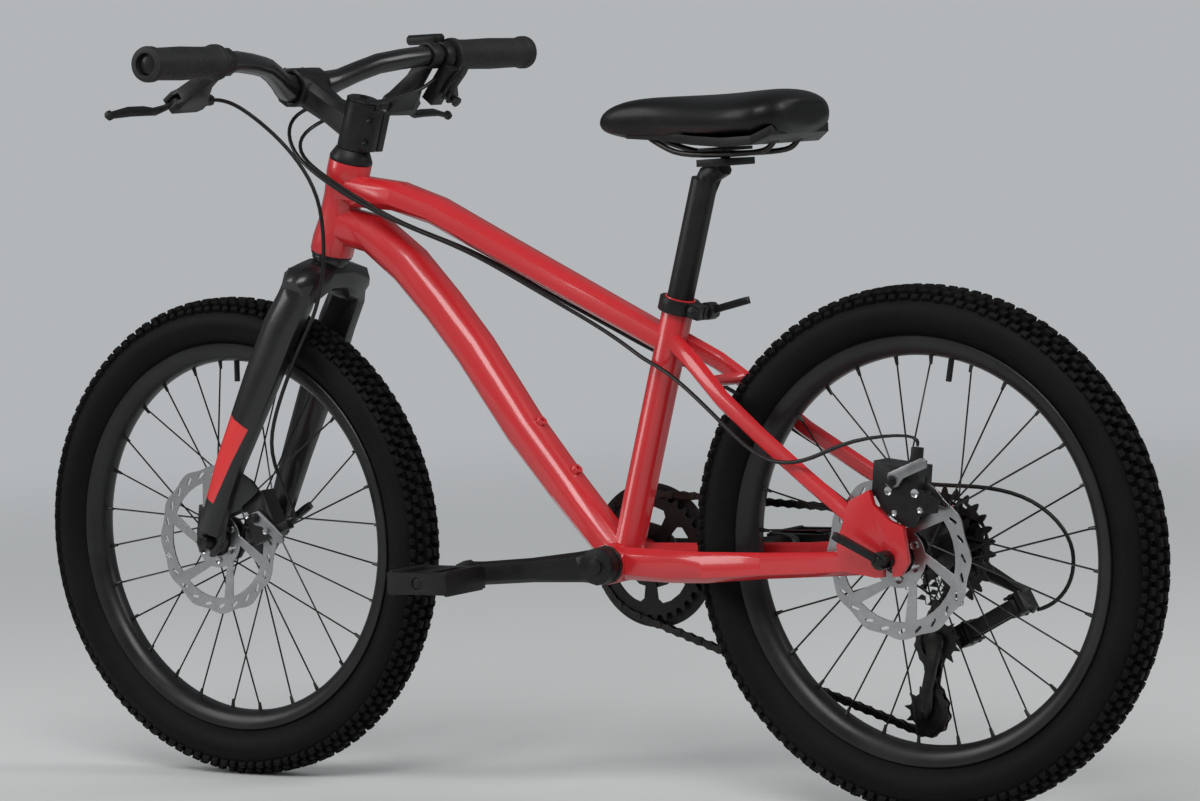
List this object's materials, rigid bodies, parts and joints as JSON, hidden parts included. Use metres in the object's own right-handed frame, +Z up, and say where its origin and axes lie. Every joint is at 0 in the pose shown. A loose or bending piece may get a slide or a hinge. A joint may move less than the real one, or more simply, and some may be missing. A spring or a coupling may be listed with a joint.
{
  "type": "kids mountain bike",
  "caption": "Small hardtail mountain bike with a formed red frame, rigid fork, knobby tyres, disc brakes, single chainring with guard, rear derailleur and flat bar.",
  "frame": {"origin": "on the ground midway between the two wheels, at the bottom centre of the bounding box", "axes": "+X forwards, towards the front wheel; +Y towards the rider's left; +Z up"},
  "size_m": [1.3695, 0.6456, 0.787],
  "materials": {
    "red_paint": "gloss",
    "black_paint": "satin",
    "black_alloy": "satin",
    "tyre_rubber": "matte",
    "grip_rubber": "matte",
    "tube_rubber": "matte",
    "brushed_steel": "brushed",
    "dark_steel": "satin",
    "grey_alloy": "satin",
    "black_plastic": "matte",
    "saddle_vinyl": "satin",
    "cable_housing": "satin"
  },
  "bodies": {
    "frame": {"frame": "red_paint", "derailleur_hanger": "dark_steel", "headset_upper": "black_alloy", "headset_lower": "black_alloy", "bottom_bracket": "dark_steel", "rear_axle": "brushed_steel", "rear_caliper": "black_alloy", "rear_brake_cable": "cable_housing", "shift_cable": "cable_housing", "chain": "dark_steel", "seat_collar": "black_alloy"},
    "front_end": {"fork": "black_paint", "stem": "black_alloy", "stem_faceplate": "black_alloy", "stem_top_cap": "black_alloy", "handlebar": "black_paint", "left_grip": "grip_rubber", "right_grip": "grip_rubber", "left_brake_perch": "black_plastic", "right_brake_perch": "black_plastic", "shifter_body": "black_plastic", "front_axle": "brushed_steel", "front_caliper": "black_alloy", "front_brake_cable": "cable_housing"},
    "front_wheel": {"front_tyre": "tyre_rubber", "front_inner_tube": "tube_rubber", "front_rim": "black_paint", "front_hub": "black_alloy", "front_rotor": "brushed_steel"},
    "rear_wheel": {"rear_tyre": "tyre_rubber", "rear_inner_tube": "tube_rubber", "rear_rim": "black_paint", "rear_hub": "black_alloy", "rear_rotor": "brushed_steel"},
    "freewheel": {"cassette": "dark_steel"},
    "cranks": {"left_crank": "black_alloy", "right_crank": "black_alloy", "chainring": "black_paint"},
    "left_foot": {"left_pedal": "black_plastic"},
    "right_foot": {"right_pedal": "black_plastic"},
    "left_lever": {"left_brake_lever": "black_plastic"},
    "right_lever": {"right_brake_lever": "black_plastic"},
    "front_arm": {"front_caliper_arm": "grey_alloy"},
    "rear_arm": {"rear_caliper_arm": "grey_alloy"},
    "thumb_lever": {"shift_thumb_lever": "black_plastic"},
    "release_lever": {"shift_release_lever": "black_plastic"},
    "mech_body": {"derailleur_body": "black_alloy"},
    "mech_outer_link": {"derailleur_outer_link": "black_alloy"},
    "mech_inner_link": {"derailleur_inner_link": "black_alloy"},
    "mech_knuckle": {"derailleur_knuckle": "black_alloy"},
    "mech_cage": {"derailleur_cage": "dark_steel"},
    "guide_wheel": {"guide_pulley": "black_plastic"},
    "tension_wheel": {"tension_pulley": "black_plastic"},
    "seat": {"seatpost": "black_alloy", "saddle_rails": "dark_steel", "saddle_base": "black_plastic", "saddle_cover": "saddle_vinyl"},
    "collar_lever": {"seat_collar_lever": "brushed_steel"},
    "front_lever": {"front_skewer_lever": "brushed_steel"},
    "rear_lever": {"rear_skewer_lever": "brushed_steel"}
  },
  "joints": [
    {"name": "steering", "type": "hinge", "parent": "frame", "child": "front_end", "pos_m": [0.28246, 0, 0.56078], "axis": [-0.3173, 0, 0.9483], "range_deg": [-70, 70], "deforming": ["rear_brake_cable", "shift_cable", "front_brake_cable"]},
    {"name": "front_wheel_spin", "type": "hinge", "parent": "front_end", "child": "front_wheel", "pos_m": [0.427, 0, 0.258], "axis": [0, 1, 0], "continuous": true},
    {"name": "rear_wheel_spin", "type": "hinge", "parent": "frame", "child": "rear_wheel", "pos_m": [-0.427, 0, 0.258], "axis": [0, 1, 0], "continuous": true},
    {"name": "crank_spin", "type": "hinge", "parent": "frame", "child": "cranks", "pos_m": [-0.075, 0, 0.241], "axis": [0, 1, 0], "continuous": true, "deforming": ["chain"]},
    {"name": "cassette_spin", "type": "hinge", "parent": "frame", "child": "freewheel", "pos_m": [-0.427, 0, 0.258], "axis": [0, 1, 0], "continuous": true, "deforming": ["chain"]},
    {"name": "left_pedal_spin", "type": "hinge", "parent": "cranks", "child": "left_foot", "pos_m": [0.07673, 0.119, 0.23198], "axis": [0, 1, 0], "continuous": true},
    {"name": "right_pedal_spin", "type": "hinge", "parent": "cranks", "child": "right_foot", "pos_m": [-0.22673, -0.119, 0.25001], "axis": [0, 1, 0], "continuous": true},
    {"name": "derailleur_b_pivot", "type": "hinge", "parent": "frame", "child": "mech_body", "pos_m": [-0.437, -0.083, 0.232], "axis": [0, 1, 0], "range_deg": [0, 25], "stiffness_Nm_per_rad": 1.5, "deforming": ["chain", "shift_cable"]},
    {"name": "derailleur_shift", "type": "hinge", "parent": "mech_body", "child": "mech_outer_link", "pos_m": [-0.478, -0.092, 0.196], "axis": [0.4602, 0, 0.8878], "range_deg": [-4.5, 24], "deforming": ["chain", "shift_cable"]},
    {"name": "derailleur_inner_link", "type": "hinge", "parent": "mech_body", "child": "mech_inner_link", "pos_m": [-0.478, -0.077, 0.196], "axis": [0.4602, 0, 0.8878], "range_deg": [-5, 25], "deforming": ["chain", "shift_cable"]},
    {"name": "derailleur_knuckle", "type": "hinge", "parent": "mech_outer_link", "child": "mech_knuckle", "pos_m": [-0.42402, -0.092, 0.16802], "axis": [0.4602, 0, 0.8878], "range_deg": [-25, 5], "deforming": ["chain", "shift_cable"]},
    {"name": "derailleur_cage", "type": "hinge", "parent": "mech_knuckle", "child": "mech_cage", "pos_m": [-0.404, -0.055, 0.162], "axis": [0, 1, 0], "range_deg": [-45, 30], "stiffness_Nm_per_rad": 0.6, "deforming": ["chain"]},
    {"name": "guide_pulley_spin", "type": "hinge", "parent": "mech_cage", "child": "guide_wheel", "pos_m": [-0.404, -0.055, 0.162], "axis": [0, 1, 0], "continuous": true, "deforming": ["chain"]},
    {"name": "tension_pulley_spin", "type": "hinge", "parent": "mech_cage", "child": "tension_wheel", "pos_m": [-0.387, -0.055, 0.092], "axis": [0, 1, 0], "continuous": true, "deforming": ["chain"]},
    {"name": "left_brake_lever", "type": "hinge", "parent": "front_end", "child": "left_lever", "pos_m": [0.31667, 0.198, 0.72589], "axis": [0.5736, 0, 0.8192], "range_deg": [0, 22], "stiffness_Nm_per_rad": 1, "deforming": ["front_brake_cable"]},
    {"name": "front_caliper_arm", "type": "hinge", "parent": "front_end", "child": "front_arm", "pos_m": [0.36094, 0.0534, 0.28402], "axis": [0, 1, 0], "range_deg": [0, 12], "deforming": ["front_brake_cable"]},
    {"name": "right_brake_lever", "type": "hinge", "parent": "front_end", "child": "right_lever", "pos_m": [0.30627, -0.177, 0.71246], "axis": [-0.7771, 0, -0.6293], "range_deg": [0, 22], "stiffness_Nm_per_rad": 1, "deforming": ["rear_brake_cable"]},
    {"name": "rear_caliper_arm", "type": "hinge", "parent": "frame", "child": "rear_arm", "pos_m": [-0.4362, 0.0721, 0.33294], "axis": [0, 1, 0], "range_deg": [0, 12], "deforming": ["rear_brake_cable"]},
    {"name": "shift_thumb_lever", "type": "hinge", "parent": "front_end", "child": "thumb_lever", "pos_m": [0.25817, -0.186, 0.72156], "axis": [-0.7771, 0, -0.6293], "range_deg": [0, 35], "stiffness_Nm_per_rad": 0.2, "deforming": ["shift_cable"]},
    {"name": "shift_release_lever", "type": "hinge", "parent": "front_end", "child": "release_lever", "pos_m": [0.25273, -0.186, 0.71715], "axis": [-0.7771, 0, -0.6293], "range_deg": [0, 15], "stiffness_Nm_per_rad": 0.2, "deforming": ["shift_cable"]},
    {"name": "seatpost_slide", "type": "slide", "parent": "frame", "child": "seat", "axis": [-0.294, 0, 0.9558], "range_m": [-0.1, 0.05]},
    {"name": "seat_collar_lever", "type": "hinge", "parent": "frame", "child": "collar_lever", "pos_m": [-0.17829, -0.0204, 0.49171], "axis": [0.2312, 0, 0.9729], "range_deg": [0, 150]},
    {"name": "front_skewer_lever", "type": "hinge", "parent": "front_end", "child": "front_lever", "pos_m": [0.427, -0.0663, 0.258], "axis": [0.5736, 0, 0.8192], "range_deg": [0, 150]},
    {"name": "rear_skewer_lever", "type": "hinge", "parent": "frame", "child": "rear_lever", "pos_m": [-0.427, 0.0838, 0.258], "axis": [-0.4617, 0, 0.887], "range_deg": [0, 150]}
  ],
  "couplings": [
    {"joint": "cassette_spin", "follows": "crank_spin", "ratio": 2.4615},
    {"joint": "guide_pulley_spin", "follows": "crank_spin", "ratio": -2.9091},
    {"joint": "tension_pulley_spin", "follows": "crank_spin", "ratio": 2.9091},
    {"joint": "derailleur_inner_link", "follows": "derailleur_shift", "ratio": 1},
    {"joint": "derailleur_knuckle", "follows": "derailleur_shift", "ratio": -1},
    {"joint": "front_caliper_arm", "follows": "left_brake_lever", "ratio": 0.5},
    {"joint": "rear_caliper_arm", "follows": "right_brake_lever", "ratio": 0.5}
  ]
}
